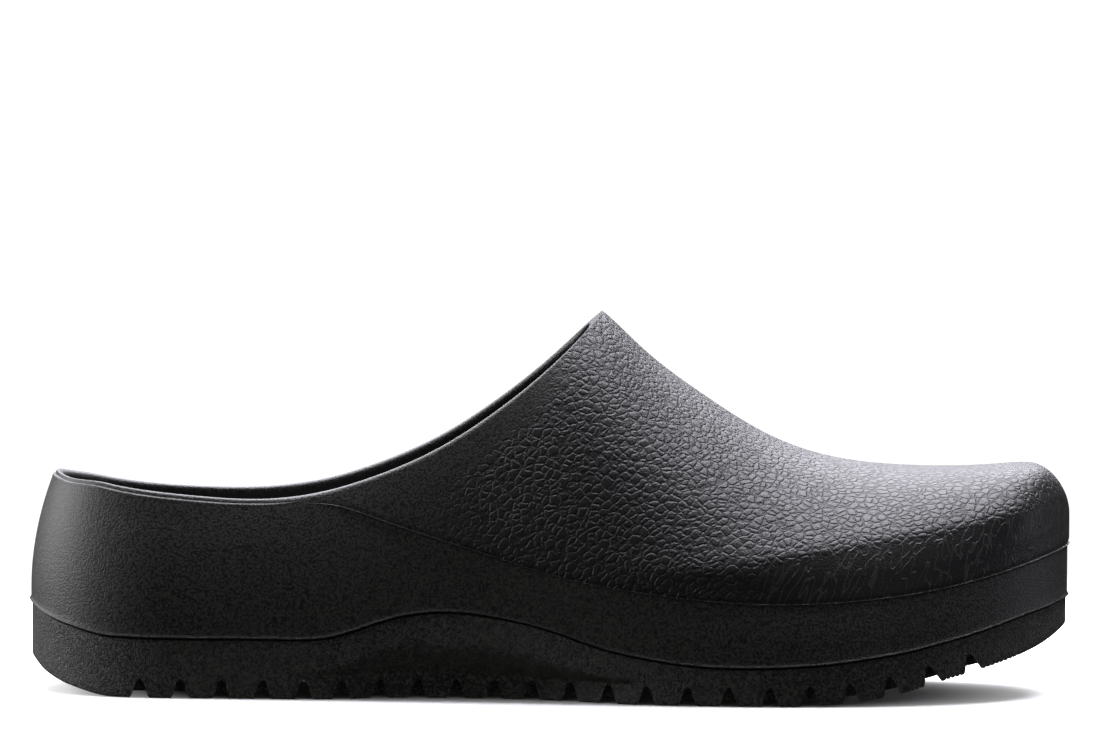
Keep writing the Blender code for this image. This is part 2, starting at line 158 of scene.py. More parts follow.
# Grain: the pebbles along and across their rows and the wrinkles, in millimetres, with how each
# is turned, and the depth of each relief
PEBBLE_SIZE = (2.7, 2.1, 2.1)
PEBBLE_TURN = (0.0, math.radians(-36), math.radians(10))
PEBBLE_RELIEF = 0.25 * MM
WRINKLE_SIZE = (2.0, 2.0, 15.0)
WRINKLE_TURN = (0.0, math.radians(26), 0.0)
SAND_RELIEF = 0.05 * MM
TREAD_RELIEF = 0.18 * MM
TREAD_SAND_RELIEF = 0.08 * MM
INSIDE_RELIEF = 0.04 * MM
LINT_RELIEF = 0.22 * MM
GRANULE_RELIEF = 0.15 * MM
# Colours of the sand grain, darker between its grains and lighter on their tops: painted shade and
# painted light
SAND_DARK = "020301"
SAND_LIGHT = "292b26"

# The floor glows a little outside an oval under the shoe, painted light that lightens the
# shoe's shadow there, and fades out round it
FLOOR_OVAL = (0.125, 0.078, 1.0)
FLOOR_GLOW = 0.5
FLOOR_FADES = (0.24, 0.55)

# Light of the room, as the matt parts and as the gloss sees it, and of the backdrop
ROOM_LIGHT = 0.34
ROOM_GLOSS = 0.055
BACKDROP = 1.1

# Fineness of the skins
BACK_STATIONS = 116
FRONT_STATIONS = 104
THROAT_SPREAD = math.radians(166)
RAND_ROWS = 14
VAMP_ROWS = 58
INSIDE_ROWS = 22
SOLE_COLUMNS = 28
FOOTBED_COLUMNS = 44
MERGE = 0.002 * MM
SHARP_ANGLE = math.radians(40)

# A row for each section. "at" is its place as a share of LENGTH from the heel.
# Shares of BALL_WIDTH: outer and inner half widths, and how far the crown lies to the inner side.
# Shares of THROAT_HEIGHT: crown of the closed form, collar line, and the line between rand and vamp.
# The collar line runs straight on past the throat, so that it doesn't bend before it gets there.
# square is the exponent of the section's curve: 2 is an ellipse, more is boxier.
# Shares of SOLE_SIDE: height of the sole's side, and of the band over the waist's cove.
# bevel is a share of HEEL_BEVEL, spring of TOE_SPRING, seat of HEEL_SEAT, cove of COVE_DEPTH,
# and bed, the footbed's thickness, of FOOTBED_HEEL.
COLUMNS = (
    "at", "outer", "inner", "inward", "crown", "collar", "parting", "square",
    "side", "band", "bevel", "spring", "seat", "cove", "bed",
)
FIRM_COLUMNS = ("bevel", "spring", "cove")
SECTIONS = (
    (0.000, 0.359, 0.359, 0.000, 0.774, 0.580, 0.396, 2.00, 0.62, 0.45, 1.00, 0.000, 1.036, 0.00, 1.00),
    (0.015, 0.359, 0.359, 0.000, 0.774, 0.571, 0.396, 2.00, 0.66, 0.45, 0.60, 0.000, 1.030, 0.00, 1.00),
    (0.035, 0.359, 0.359, 0.000, 0.775, 0.562, 0.396, 2.00, 0.68, 0.45, 0.32, 0.000, 1.020, 0.00, 1.00),
    (0.083, 0.359, 0.359, 0.000, 0.783, 0.538, 0.397, 2.00, 0.68, 0.45, 0.01, 0.000, 1.000, 0.00, 1.00),
    (0.155, 0.361, 0.357, 0.000, 0.792, 0.520, 0.408, 2.00, 0.67, 0.44, 0.00, 0.000, 1.000, 0.00, 1.05),
    (0.241, 0.367, 0.354, 0.000, 0.822, 0.523, 0.499, 2.00, 0.67, 0.40, 0.00, 0.000, 0.985, 0.00, 1.10),
    (0.290, 0.374, 0.346, 0.002, 0.872, 0.546, 0.507, 2.00, 0.70, 0.36, 0.00, 0.000, 0.970, 0.12, 1.14),
    (0.341, 0.382, 0.337, 0.006, 0.948, 0.592, 0.467, 2.00, 0.89, 0.59, 0.00, 0.000, 0.950, 0.80, 1.16),
    (0.393, 0.393, 0.335, 0.011, 1.030, 0.658, 0.423, 2.00, 1.00, 0.65, 0.00, 0.000, 0.940, 1.00, 1.14),
    (0.448, 0.410, 0.341, 0.018, 1.080, 0.756, 0.378, 2.02, 0.95, 0.60, 0.00, 0.000, 0.895, 1.00, 1.08),
    (0.507, 0.439, 0.363, 0.024, 1.066, 0.889, 0.331, 2.10, 0.79, 0.44, 0.00, 0.000, 0.793, 0.75, 0.96),
    (0.548, 0.460, 0.391, 0.028, 1.000, 1.000, 0.307, 2.16, 0.63, 0.33, 0.00, 0.000, 0.696, 0.35, 0.88),
    (0.586, 0.479, 0.415, 0.031, 0.904, 1.104, 0.292, 2.14, 0.53, 0.31, 0.00, 0.000, 0.625, 0.05, 0.80),
    (0.645, 0.503, 0.452, 0.037, 0.782, 1.265, 0.273, 2.08, 0.44, 0.31, 0.00, 0.000, 0.529, 0.00, 0.72),
    (0.703, 0.512, 0.479, 0.046, 0.683, 1.424, 0.264, 2.08, 0.43, 0.31, 0.00, 0.000, 0.471, 0.00, 0.67),
    (0.762, 0.512, 0.496, 0.056, 0.621, 1.585, 0.267, 2.18, 0.45, 0.32, 0.00, 0.022, 0.482, 0.00, 0.66),
    (0.821, 0.512, 0.502, 0.067, 0.595, 1.747, 0.281, 2.38, 0.46, 0.32, 0.00, 0.128, 0.557, 0.00, 0.66),
    (0.879, 0.512, 0.502, 0.079, 0.587, 1.906, 0.306, 2.75, 0.43, 0.31, 0.00, 0.349, 0.679, 0.00, 0.66),
    (0.931, 0.512, 0.502, 0.089, 0.589, 2.048, 0.340, 3.50, 0.44, 0.31, 0.00, 0.554, 0.821, 0.00, 0.62),
    (0.972, 0.512, 0.502, 0.097, 0.593, 2.160, 0.373, 4.60, 0.41, 0.30, 0.00, 0.769, 0.950, 0.00, 0.58),
    (1.000, 0.512, 0.502, 0.101, 0.593, 2.237, 0.396, 3.40, 0.32, 0.26, 0.00, 1.000, 1.029, 0.00, 0.56),
)

# Small reliefs of the wall, as (height above the line, how far out) in millimetres.
# The rand ends below in a thin proud lip over the sole line.
LIP = ((0.0, -0.35), (0.08, 0.05), (0.2, 0.36), (0.42, 0.45), (0.62, 0.32), (0.9, 0.08), (1.3, 0.0))
# A fine bead of flash runs along the parting line, with a shallow groove above it.
BEAD = (
    (-0.7, 0.0), (-0.4, 0.08), (-0.2, 0.34), (-0.05, 0.58), (0.1, 0.62), (0.22, 0.42),
    (0.36, 0.18), (0.6, 0.2), (1.0, 0.38), (1.6, 0.5),
)
# Round the heel the rim is set in a little, so that the wall ends below it in an edge of its own.
RIM_LINE = (
    (-1.6, 0.0), (-1.2, 0.06), (-0.95, 0.06), (-0.75, -0.02), (-0.6, -0.18), (-0.5, -0.4),
    (-0.42, -0.5), (0.0, -0.5),
)
# The shoulder between the top of the vamp and its steep side, as (from the heel, height) in mm.
SHOULDER = ((165, 36), (200, 39), (229, 43.8), (257, 48.3), (277, 52.9), (290, 57))


# The last form


def column(name):
    return np.array(SECTIONS)[:, COLUMNS.index(name)]


def firm_slopes(run, slope):
    """Slopes at the sections for a curve that never passes its own values, so that flat stays flat."""
    product, total = slope[:-1] * slope[1:], slope[:-1] + slope[1:]
    middle = np.divide(2 * product, total, out=np.zeros_like(total), where=product > 0)
    return np.concatenate([slope[:1], middle, slope[-1:]])


def fair_slopes(run, slope):
    """Slopes at the sections for a fair curve, whose bend has no jumps."""
    count = len(run) + 1
    system, right = np.zeros((count, count)), np.zeros(count)
    system[0, :2], right[0] = (2, 1), 3 * slope[0]
    system[-1, -2:], right[-1] = (1, 2), 3 * slope[-1]
    for i in range(1, count - 1):
        before, after = run[i - 1], run[i]
        system[i, i - 1 : i + 2] = after, 2 * (before + after), before
        right[i] = 3 * (after * slope[i - 1] + before * slope[i])
    return np.linalg.solve(system, right)


def along(name, at):
    """A column of SECTIONS at the shares `at` of the length."""
    knots, values = column("at"), column(name)
    run = np.diff(knots)
    slope = np.diff(values) / run
    tangent = (firm_slopes if name in FIRM_COLUMNS else fair_slopes)(run, slope)
    i = np.clip(np.searchsorted(knots, at, side="right") - 1, 0, len(run) - 1)
    t = (at - knots[i]) / run[i]
    rise = values[i + 1] - values[i]
    leave, arrive = tangent[i] * run[i], tangent[i + 1] * run[i]
    bend = 3 * rise - 2 * leave - arrive
    return values[i] + t * (leave + t * (bend + t * (leave + arrive - 2 * rise)))


def ease(share):
    """0 to 1 with a soft start and end."""
    share = np.clip(share, 0, 1)
    return share * share * (3 - 2 * share)


def ease_between(value, ends):
    """0 at the first of two ends and 1 at the second, with a soft start and end."""
    start, end = ends
    return ease((value - start) / (end - start))


def turn(share, power):
    """1 where the share is 0 or less, falling to 0 at 1 as a quarter of a superellipse."""
    return (1 - np.clip(share, 0, 1) ** power) ** (1 / power)


def stations():
    """Shares of the length, close together at the heel, the throat and the toe."""
    back = 1 - np.cos(np.linspace(0, THROAT_SPREAD, BACK_STATIONS + 1))
    front = 1 - np.cos(np.linspace(math.pi - THROAT_SPREAD, math.pi, FRONT_STATIONS + 1))
    back = back / back[-1] * THROAT_AT
    front = (front - front[0]) / (front[-1] - front[0]) * (1 - THROAT_AT) + THROAT_AT
    return np.concatenate([back, front[1:]])


AT = stations()
THROAT = BACK_STATIONS
LAST = len(AT) - 1


def ground_line(at):
    return along("bevel", at) * HEEL_BEVEL + along("spring", at) * TOE_SPRING


def sole_line(at):
    """The edge on the side where the upper meets the outsole."""
    return ground_line(at) + along("side", at) * SOLE_SIDE


def crown_line(at):
    """The top of the closed form, which turns down over the edge of the toe."""
    edge = TOE_EDGE_RUN / LENGTH
    return along("crown", at) * THROAT_HEIGHT - TOE_EDGE_DROP * (1 - turn((at - 1 + edge) / edge, 2))


def collar_line(at):
    return along("collar", at) * THROAT_HEIGHT


def parting_line(at):
    """The line between the smooth rand and the grained vamp."""
    return along("parting", at) * THROAT_HEIGHT


def seat_line(at):
    """The top of the outsole inside the upper, where the footbed lies."""
    return np.maximum(along("seat", at) * HEEL_SEAT, sole_line(at) + SEAT_LIP)


def outline(at, side):
    """The plan outline: y on the outer (side -1) or the inner (side 1) half."""
    half = side * along("outer" if side < 0 else "inner", at) * BALL_WIDTH
    start, power = TOE_TURN[side]
    toe = turn((at - start) / (1 - start), power)
    heel_start, heel_power = HEEL_TURN
    heel = turn((heel_start - at) / heel_start, heel_power)
    return (TOE_TIP_SIDE * (1 - toe) + half * toe) * heel


def half_form(at, side, height):
    """Points of the form at one height for each station."""
    base = sole_line(at)
    rise = np.clip((height - base) / (crown_line(at) - base), 0, 1)
    square = along("square", at)
    centre = along("inward", at) * BALL_WIDTH
    y = centre + (outline(at, side) - centre) * (1 - rise**square) ** (1 / square)
    lean = HEEL_LEAN * (np.clip(height / HEEL_SEAT - 1, 0, None)) ** 2
    x = at * LENGTH + lean * np.clip(1 - at / HEEL_TURN[0], 0, 1) ** 2
    return np.stack([x, y, height], axis=1)


def ring(outer_half, inner_half):
    """One closed loop from the two halves, which meet at the toe and at the heel."""
    return np.concatenate([outer_half[:0:-1], inner_half[:-1]])


def mirrored(values):
    """Values at each station, repeated for both halves of a ring."""
    return np.concatenate([values[:0:-1], values[:-1]])


def form_rings(heights):
    return np.array([ring(half_form(AT, -1, height), half_form(AT, 1, height)) for height in heights])


RING_AT = mirrored(AT)
ZIPPED = RING_AT >= AT[THROAT] - 1e-9
OTHER_HALF = -np.arange(len(RING_AT)) % len(RING_AT)
STEP_SHARE = ease_between(RING_AT, (STEP_STARTS, STEP_FULL))


def line_share(at):
    """1 round the heel, where the rim has a line of its own, falling to 0 where the vamp starts."""
    return 1 - ease_between(at, (RIM_LINE_FADES, STEP_STARTS))


def inward_normals(rings, closes=False):
    """Unit normals into the shoe, from each point's neighbours. closes: the last ring is the crown."""
    round_the_shoe = np.roll(rings, -1, axis=1) - np.roll(rings, 1, axis=1)
    upward = np.gradient(rings, axis=0)
    upward[0] = (0, 0, 1)
    if closes:
        over = rings[-2][OTHER_HALF] - rings[-2]
        upward[-1] = np.where(ZIPPED[:, None], over, upward[-1])
        round_the_shoe[-1, 0] = (0, -1, 0)
        upward[-1, 0] = (0, 0, 1)
    normal = np.cross(upward, round_the_shoe)
    normal /= np.linalg.norm(normal, axis=2, keepdims=True)
    outwards = np.sign(normal[0, 0, 0])
    return -outwards * normal


def inset(rings, depth, closes=False):
    """The rings moved into the shoe by a depth, kept joined along the crown."""
    moved = rings + inward_normals(rings, closes) * depth
    if closes:
        joined = (moved[-1] + moved[-1][OTHER_HALF]) / 2
        moved[-1] = np.where(ZIPPED[:, None], joined, moved[-1])
    return moved


def plan_inset(ring_points, depth):
    """One ring moved level towards the inside by a depth for each of its points."""
    along_ring = np.roll(ring_points, -1, axis=0) - np.roll(ring_points, 1, axis=0)
    along_ring[:, 2] = 0
    normal = np.cross(along_ring, (0, 0, 1))
    normal /= np.linalg.norm(normal, axis=1, keepdims=True)
    inwards = -np.sign(normal[0, 0])
    return ring_points + inwards * normal * np.reshape(depth, (-1, 1))


# Skins


class Skin:
    """A mesh under construction, made of rings, the strips between them and the caps across them."""

    def __init__(self):
        self.mesh = bmesh.new()

    def ring(self, points):
        return [self.mesh.verts.new(point) for point in points]

    def strip(self, lower, upper, finish=0, only=None):
        for i in range(len(lower)):
            k = (i + 1) % len(lower)
            if only is None or only[i]:
                self.mesh.faces.new((lower[i], lower[k], upper[k], upper[i])).material_index = finish

    def strips(self, rings, finish=0, only=None):
        for lower, upper in zip(rings, rings[1:]):
            self.strip(lower, upper, finish, only)

    def cap(self, edge, columns, shape, finish=0):
        """Fills a ring with a row of points at each station; shape gives their places."""
        count = len(edge)
        outer = [edge[LAST - i] for i in range(LAST + 1)]
        inner = [edge[(LAST + i) % count] for i in range(LAST + 1)]
        rows = []
        for i in range(LAST + 1):
            between = [
                self.mesh.verts.new(shape(i, k / columns, outer[i].co, inner[i].co))
                for k in range(1, columns)
            ]
            rows.append([outer[i], *between, inner[i]])
        for a, b in zip(rows, rows[1:]):
            for k in range(columns):
                corners = dict.fromkeys((a[k], a[k + 1], b[k + 1], b[k]))
                self.mesh.faces.new(tuple(corners)).material_index = finish

    def finish(self, name, materials):
        bmesh.ops.remove_doubles(self.mesh, verts=self.mesh.verts, dist=MERGE)
        bmesh.ops.dissolve_degenerate(self.mesh, edges=self.mesh.edges, dist=MERGE)
        bmesh.ops.recalc_face_normals(self.mesh, faces=self.mesh.faces)
        return new_piece(name, self.mesh, materials)


def new_piece(name, shape, materials=()):
    mesh = bpy.data.meshes.new(name)
    shape.to_mesh(mesh)
    shape.free()
    piece = bpy.data.objects.new(name, mesh)
    bpy.context.scene.collection.objects.link(piece)
    for material in materials:
        mesh.materials.append(material)
    return piece


def settle(piece):
    """Makes what the piece's modifiers give its plain mesh, and takes the modifiers off."""
    graph = bpy.context.evaluated_depsgraph_get()
    graph.update()
    made = bpy.data.meshes.new_from_object(piece.evaluated_get(graph))
    piece.modifiers.clear()
    piece.data = made


def smooth(piece):
    piece.data.shade_smooth()
    piece.data.set_sharp_from_angle(angle=SHARP_ANGLE)


def places(piece):
    """The piece's points as rows of x, y and z."""
    found = np.empty(len(piece.data.vertices) * 3)
    piece.data.vertices.foreach_get("co", found)
    return found.reshape(-1, 3)


def paint(piece, name, values):
    """Keeps a share from 0 to 1 at each point, for a finish that fades over the piece."""
    kept = piece.data.attributes.new(name, "FLOAT", "POINT")
    kept.data.foreach_set("value", np.clip(values, 0, 1).astype(np.float32))


def quarter_turn(steps):
    """Sine and cosine at even steps from 0 to a right angle."""
    return [(math.sin(turned), math.cos(turned)) for turned in np.linspace(0, math.pi / 2, steps)]


def flat_across(i, share, outer, inner):
    return outer.lerp(inner, share)


# Upper


def rim_round(at, radius):
    """The radius of an edge of the rim, which dies away into the point of the throat."""
    return radius * ease((THROAT_AT - at) / RIM_ROUND_RUN)


def outer_rim_round(at):
    return rim_round(at, RIM_OUTER_ROUND + (RIM_HEEL_ROUND - RIM_OUTER_ROUND) * line_share(at))


def shoulder_line(at):
    place, height = zip(*SHOULDER)
    return np.interp(at * LENGTH / MM, place, height) * MM


def shoulder_relief(height):
    """How far the skin stands out at a height at each station, most along the shoulder."""
    above = (height - shoulder_line(AT)) / SHOULDER_ROUND
    swell = np.exp((1 - np.sqrt(1 + above**2)) * SHOULDER_ROUND / SHOULDER_FALL)
    swell *= ease((height - parting_line(AT)) / SHOULDER_FOOT)
    swell *= ease_between(AT * LENGTH, SHOULDER_GROWS) * (1 - ease_between(AT, SHOULDER_FADES))
    return mirrored(SHOULDER_RISE * swell)


def lift_rim(rings):
    """Raises the rim of the outer side behind the ankle, where it stands over the inner side's."""
    along_rim = ease_between(RING_AT, RIM_LIFT_RISES) * (1 - ease_between(RING_AT, RIM_LIFT_FALLS))
    along_rim[LAST:] = 0
    near_rim = ease(1 - (collar_line(RING_AT) - rings[..., 2]) / RIM_LIFT_DEPTH)
    rings[..., 2] += RIM_LIFT * along_rim * near_rim


def heights_between(low, high, count):
    """Heights at each station, in even steps round the section from the lowest to the highest."""
    base, square = sole_line(AT), along("square", AT)
    rise = crown_line(AT) - base
    start, end = (
        np.arcsin(np.clip((height - base) / rise, 0, 1) ** (square / 2)) for height in (low, high)
    )
    turned = (start + (end - start) * row / count for row in range(count + 1))
    return [base + rise * np.sin(angle) ** (2 / square) for angle in turned]


def outside_rows():
    """Height at each station, relief on each ring and finish of each row of the outside."""
    parting = parting_line(AT)
    top = np.where(AT < THROAT_AT, collar_line(AT), crown_line(AT))
    none, full = np.zeros(len(RING_AT)), STEP_SHARE * BEAD[-1][1] * MM
    rows = [(sole_line(AT) + rise * MM, none + out * MM, "rand") for rise, out in LIP]
    rand = heights_between(rows[-1][0], parting + BEAD[0][0] * MM, RAND_ROWS)
    rows += [(height, none, "rand") for height in rand[1:-1]]
    line_height = (RIM_ROWS_AT_FRONT + (1 - RIM_ROWS_AT_FRONT) * line_share(AT)) * MM
    near_rim = [top - outer_rim_round(AT) + rise * line_height for rise, out in RIM_LINE]
    room = np.clip(0.5 * (near_rim[0] - parting) / (BEAD[-1][0] * MM), 0.05, 1)
    for rise, out in BEAD:
        height = parting + rise * MM * (room if rise > 0 else 1)
        rows.append((height, STEP_SHARE * out * MM, "rand" if rise < 0 else "vamp"))
    bead_end = rows[-1][0]
    back = heights_between(bead_end, near_rim[0], VAMP_ROWS)[1:-1] + near_rim
    front = heights_between(bead_end, top, VAMP_ROWS + len(RIM_LINE) - 1)[1:-1] + [top]
    line = [0] * (VAMP_ROWS - 1) + [out * MM for rise, out in RIM_LINE]
    at_back = ease((THROAT_AT - AT) / RIM_ROWS_RUN)
    for low, high, out in zip(front, back, line):
        height = low + (high - low) * at_back
        rows.append((height, full + line_share(RING_AT) * out + shoulder_relief(height), "vamp"))
    return rows, top


def close_throat(outer_edge, rim):
    """Sets the collar's inner edge on the collar line, and its front point between its neighbours."""
    front = [k for k in range(len(rim)) if math.isclose(RING_AT[k], THROAT_AT)]
    beside = (front[0] + 1, front[1] - 1)
    rim[front] = outer_edge[front[0]] + sum(rim[k] - outer_edge[k] for k in beside) / 2
    collar = ~ZIPPED
    collar[front] = True
    rim[collar, 2] = collar_line(rim[collar, 0] / LENGTH)
    lift_rim(rim)


def unit(vectors):
    length = np.linalg.norm(vectors, axis=1, keepdims=True)
    return np.divide(vectors, length, out=np.zeros_like(vectors), where=length > 1e-9)


def rounded(corner, start, end, steps=5):
    """Rings that turn a corner from the points `start` to the points `end`."""
    for step in range(1, steps + 1):
        t = step / steps
        yield (1 - t) ** 2 * start + 2 * t * (1 - t) * corner + t * t * end


def build_upper(vamp, rand, inside):
    """One hollow wall, with the vamp a step proud of the rand and a rounded rim."""
    rows, top = outside_rows()
    heights, reliefs, finishes = zip(*rows)
    form = form_rings(heights)
    lift_rim(form)
    outer = inset(form, -np.array(reliefs)[:, :, None], closes=True)
    within = form_rings(heights_between(sole_line(AT), top, INSIDE_ROWS))
    lift_rim(within)
    inner = inset(within, WALL, closes=True)
    inner[0, :, 2] = outer[0, :, 2]
    open_top = ~(ZIPPED & np.roll(ZIPPED, -1))
    corner = within[-1] + (outer[-1] - form[-1])
    close_throat(within[-1], inner[-1])
    across = unit(inner[-1] - corner)
    outer_radius = outer_rim_round(RING_AT)[:, None]
    inner_radius = rim_round(RING_AT, RIM_INNER_ROUND)[:, None]
    corner = np.where(ZIPPED[:, None], outer[-1], corner)
    inner_corner = inner[-1].copy()
    inner[-1] += unit(inner[-2] - inner[-1]) * inner_radius
    skin = Skin()
    outer_rings = [skin.ring(points) for points in outer]
    grained = RING_AT > STEP_FULL
    for finish, lower, upper in zip(finishes[1:], outer_rings, outer_rings[1:]):
        if finish == "rand":
            skin.strip(lower, upper, 1)
        else:
            skin.strip(lower, upper, 0, grained)
            skin.strip(lower, upper, 1, ~grained)
    inner_start = inner_corner - across * inner_radius
    rim = [outer_rings[-1]]
    rim += [skin.ring(points) for points in rounded(corner, outer[-1], corner + across * outer_radius)]
    rim.append(skin.ring(inner_start))
    rim += [skin.ring(points) for points in list(rounded(inner_corner, inner_start, inner[-1]))[:-1]]
    inner_rings = [skin.ring(points) for points in inner]
    rim.append(inner_rings[-1])
    skin.strips(rim, 1, open_top)
    skin.strips(inner_rings, 2)
    skin.strip(outer_rings[0], inner_rings[0], 1)
    return skin.finish("moulded_upper", (vamp, rand, inside))


def paint_upper(piece):
    """Where the leather grain shows on the vamp, and where it turns to fine upright streaks."""
    x, y, z = places(piece).T
    at = np.clip(x / LENGTH, 0, 1)
    below_collar = collar_line(at) - z
    smooth_rim = 1 - ease_between(below_collar, GRAIN_LEAVES_RIM)
    smooth_rim *= 1 - ease_between(x, SMOOTH_RIM_ENDS)
    paint(piece, "grain", ease_between(x, GRAIN_STARTS) * (1 - smooth_rim))
    under_shoulder = ease_between(shoulder_line(at) - z, STREAKS_UNDER_SHOULDER)
    paint(piece, "streaks", ease_between(x, STREAKS_START) * under_shoulder)


# Outsole


def sole_rings():
    """Depth in from the outline, and height, of each ring of the outsole's side, downwards."""
    at = RING_AT
    ground, top = ground_line(at), sole_line(at) - FIT
    lug = ground + np.minimum(LUG_HEIGHT, LUG_SHARE * (top - ground))
    band = np.maximum(ground + along("band", at) * SOLE_SIDE, lug + BAND_SHARE * (top - lug))
    cove = along("cove", at) * COVE_DEPTH
    rows = []
    for sine, cosine in quarter_turn(5):
        rows.append((SOLE_TOP_ROUND * (1 - sine), top - SOLE_TOP_ROUND * (1 - cosine)))
    for share in (0.25, 0.5, 0.75, 1):
        rows.append((0, top - SOLE_TOP_ROUND + (band - top + SOLE_TOP_ROUND) * share))
    for share in np.linspace(0, 1, 11)[1:]:
        rows.append((cove * ease(share), band + (lug - band) * share))
    for share in (1 / 3, 2 / 3):
        rows.append((cove, lug + (ground + LUG_EDGE - lug) * share))
    for sine, cosine in quarter_turn(5):
        rows.append((cove + LUG_EDGE * (1 - cosine), ground + LUG_EDGE * (1 - sine)))
    return [(SOLE_STEP + depth, height) for depth, height in rows]


def build_outsole(tread):
    """The lugged sole: a side up to the sole line, a ledge for the upper's wall, and a raised seat."""
    skin = Skin()
    form = form_rings((sole_line(AT), seat_line(AT)))
    base = form[0]
    seat = inset(form, WALL + FIT)
    seat[:, :, 2] = base[:, 2] - FIT, seat_line(RING_AT)
    seat_bottom, seat_top = (skin.ring(points) for points in seat)
    skin.strip(seat_bottom, seat_top)
    skin.cap(seat_top, 2, flat_across)
    above = seat_bottom
    for depth, height in sole_rings():
        points = plan_inset(base, depth)
        points[:, 2] = height
        below = skin.ring(points)
        skin.strip(above, below)
        above = below
    skin.cap(above, SOLE_COLUMNS, flat_across)
    return skin.finish("lugged_outsole", (tread,))


def notch_places():
    """Shares of the length for the notches, evenly spaced in the heel, the waist and the forefoot."""
    ends = (FIRST_NOTCH_AT, HEEL_GROOVE_AT, BALL_GROOVE_AT, LAST_NOTCH_AT)
    found = [FIRST_NOTCH_AT]
    for start, end in zip(ends, ends[1:]):
        count = round((end - start) * LENGTH / NOTCH_PITCH)
        found += list(np.linspace(start, end, count + 1)[1:])
    return found


def bell_profile():
    """A bell: a wide mouth at the ground and a narrow round top."""
    heights = np.array([-0.2, 0.0, 0.05, 0.12, 0.22, 0.35, 0.5, 0.68, 0.82, 0.9, 0.96])
    shares = np.array([1.4, 1.0, 0.86, 0.72, 0.58, 0.43, 0.3, 0.14, 0.0, -0.2, -0.36])
    mouth, neck = NOTCH_MOUTH / 2, NOTCH_NECK / 2
    side = list(zip(neck + (mouth - neck) * shares, heights * NOTCH_DEPTH))
    return side + [(0, NOTCH_DEPTH)] + [(-width, height) for width, height in reversed(side)]


def wedge_profile():
    """A small tooth gap, open at the ground."""
    half = TOOTH_PITCH / 2
    return [(0.5 * half, -TOOTH_DEPTH), (0.62 * half, 0), (0, TOOTH_DEPTH), (-0.62 * half, 0),
            (-0.5 * half, -TOOTH_DEPTH)]


def slit_profile():
    """A narrow slit with a round top."""
    half = SLIT_WIDTH / 2
    round_top = [(half * math.cos(turned), SLIT_DEPTH - half + half * math.sin(turned))
                 for turned in np.linspace(0, math.pi, 7)]
    return [(half, -SLIT_DEPTH), *round_top, (-half, -SLIT_DEPTH)]


def new_blade(name, profile):
    """A prism one unit long along Y with its profile in X and Z, from which a row of cuts is made."""
    shape = bmesh.new()
    near, far = ([shape.verts.new((u, y, v)) for u, v in profile] for y in (0, 1))
    count = len(near)
    for i in range(count):
        k = (i + 1) % count
        shape.faces.new((near[i], near[k], far[k], far[i]))
    shape.faces.new(near)
    shape.faces.new(far)
    bmesh.ops.recalc_face_normals(shape, faces=shape.faces)
    return new_piece(name, shape)


def set_inputs(node, inputs):
    """Gives each input a value, or the socket that feeds it. A node stands for its first output."""
    for name, value in inputs.items():
        if isinstance(value, bpy.types.Node):
            value = next(output for output in value.outputs if output.enabled)
        if isinstance(value, bpy.types.NodeSocket):
            node.id_data.links.new(value, node.inputs[name])
        else:
            node.inputs[name].default_value = value


def add_node(tree, kind, inputs=None, **settings):
    """Adds a node with its settings and what its inputs are given."""
    made = tree.nodes.new(kind)
    for name, value in settings.items():
        setattr(made, name, value)
    set_inputs(made, inputs or {})
    return made


SOFT_ENDS = {"interpolation_type": "SMOOTHSTEP"}
CUT_SETTINGS = ("lean", "swing", "reach")


def row_of_cuts_tree():
    """Sets a blade at every point, turned as its lean and swing say and as long as its reach."""
    tree = bpy.data.node_groups.new("row_of_cuts", "GeometryNodeTree")
    for name, kind, way in (
        ("Geometry", "NodeSocketGeometry", "INPUT"),
        ("Blade", "NodeSocketObject", "INPUT"),
        ("Geometry", "NodeSocketGeometry", "OUTPUT"),
    ):
        tree.interface.new_socket(name, in_out=way, socket_type=kind)
    given = add_node(tree, "NodeGroupInput").outputs
    blade = add_node(tree, "GeometryNodeObjectInfo", {"Object": given["Blade"]})
    lean, swing, reach = (
        add_node(
            tree, "GeometryNodeInputNamedAttribute", {"Name": name}, data_type="FLOAT"
        ).outputs["Attribute"]
        for name in CUT_SETTINGS
    )
    turned = add_node(tree, "ShaderNodeCombineXYZ", {"Y": lean, "Z": swing})
    size = add_node(tree, "ShaderNodeCombineXYZ", {"X": 1, "Y": reach, "Z": 1})
    placed = add_node(
        tree,
        "GeometryNodeInstanceOnPoints",
        {
            "Points": given["Geometry"],
            "Instance": blade.outputs["Geometry"],
            "Rotation": turned,
            "Scale": size,
        },
    )
    whole = add_node(tree, "GeometryNodeRealizeInstances", {"Geometry": placed})
    add_node(tree, "NodeGroupOutput", {"Geometry": whole})
    return tree


def row_of_cuts(name, tree, blade, cuts):
    """cuts: for each, its place, its lean and swing in radians, and its reach along Y."""
    mesh = bpy.data.meshes.new(name)
    mesh.from_pydata([cut[0] for cut in cuts], [], [])
    for index, kept in enumerate(CUT_SETTINGS, start=1):
        attribute = mesh.attributes.new(kept, "FLOAT", "POINT")
        attribute.data.foreach_set("value", [cut[index] for cut in cuts])
    row = bpy.data.objects.new(name, mesh)
    bpy.context.scene.collection.objects.link(row)
    modifier = row.modifiers.new(name, "NODES")
    modifier.node_group = tree
    modifier[tree.interface.items_tree["Blade"].identifier] = blade
    settle(row)
    return row


def ground_slope(at):
    rise = ground_line(at + SLOPE_STEP) - ground_line(at - SLOPE_STEP)
    return math.atan2(rise, 2 * SLOPE_STEP * LENGTH)


def cut_place(at):
    """Place, height and lean of a cut at a share of the length, and the outline on both sides."""
    outer, inner = (float(outline(at, side)) for side in (-1, 1))
    return at * LENGTH, float(ground_line(at)), -ground_slope(at), outer, inner


